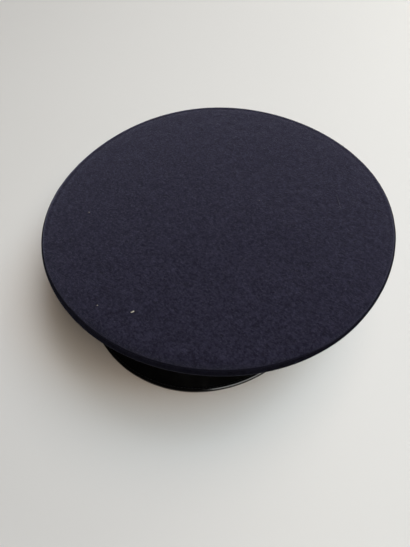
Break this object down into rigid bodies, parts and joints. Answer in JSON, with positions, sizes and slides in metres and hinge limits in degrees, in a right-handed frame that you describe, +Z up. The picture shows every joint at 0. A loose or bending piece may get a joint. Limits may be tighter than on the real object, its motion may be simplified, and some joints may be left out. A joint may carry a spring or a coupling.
{
  "type": "peaked cap",
  "caption": "Peaked cloth cap (kepi cap) with a wide flat oval crown, flared cloth sides, an upright band and a black glossy peak with a raised binding, lying as it rests by itself.",
  "frame": {"origin": "middle of the bounding box, at the level of the surface the cap lies on", "axes": "+Z up; the peak points towards -Y and the wearer's left side is at +X; the cap is in its resting pose, so it leans back by 5 degrees"},
  "size_m": [0.2758, 0.2821, 0.0925],
  "materials": {
    "navy_felt": "matt brushed felted wool",
    "navy_cloth": "matt felted wool",
    "black_gloss": "high gloss, lacquered"
  },
  "bodies": {
    "root": {"crown_top": "navy_felt", "crown_piping": "navy_felt", "side_panel_front": "navy_cloth", "side_panel_left": "navy_cloth", "side_panel_back": "navy_cloth", "side_panel_right": "navy_cloth", "cap_band": "navy_cloth", "peak": "black_gloss", "peak_binding": "black_gloss"}
  },
  "joints": []
}
